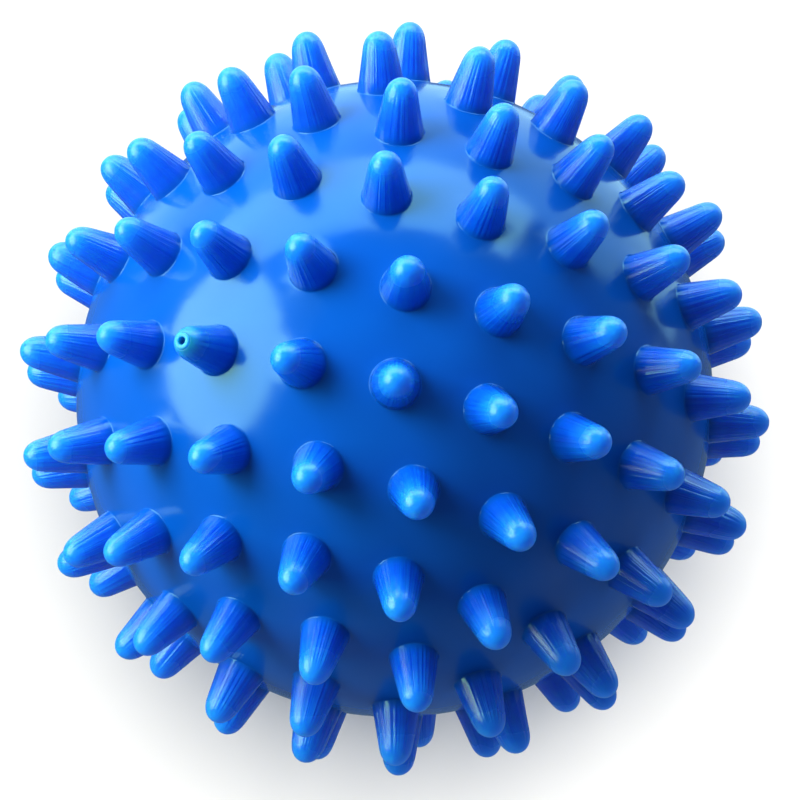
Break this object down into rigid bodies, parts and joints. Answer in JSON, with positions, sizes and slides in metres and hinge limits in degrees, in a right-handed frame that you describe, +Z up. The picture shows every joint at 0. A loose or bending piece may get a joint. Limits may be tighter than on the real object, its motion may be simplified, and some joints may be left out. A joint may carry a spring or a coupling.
{
  "type": "spiky massage ball",
  "caption": "Hollow spiky massage ball of soft vinyl, two moulded halves welded at a hidden seam, with a needle valve in one spike.",
  "frame": {"origin": "centre of the hollow ball", "axes": "+Y along the pole axis of the rings of spikes, towards the half without the valve; the seam is the plane Y = 0; +Z up, halfway between spikes of the rings beside the seam, as the ball lies on them; +X to the right seen from -Y"},
  "size_m": [0.089, 0.09, 0.0884],
  "materials": {
    "soft_vinyl": "glossy, slightly see-through at the spikes",
    "valve_vinyl": "glossy",
    "valve_rubber": "matt"
  },
  "bodies": {
    "root": {"half_shell_plain": "soft_vinyl", "half_shell_valve": "soft_vinyl", "valve_sleeve": "valve_vinyl", "valve_core": "valve_rubber"}
  },
  "joints": []
}
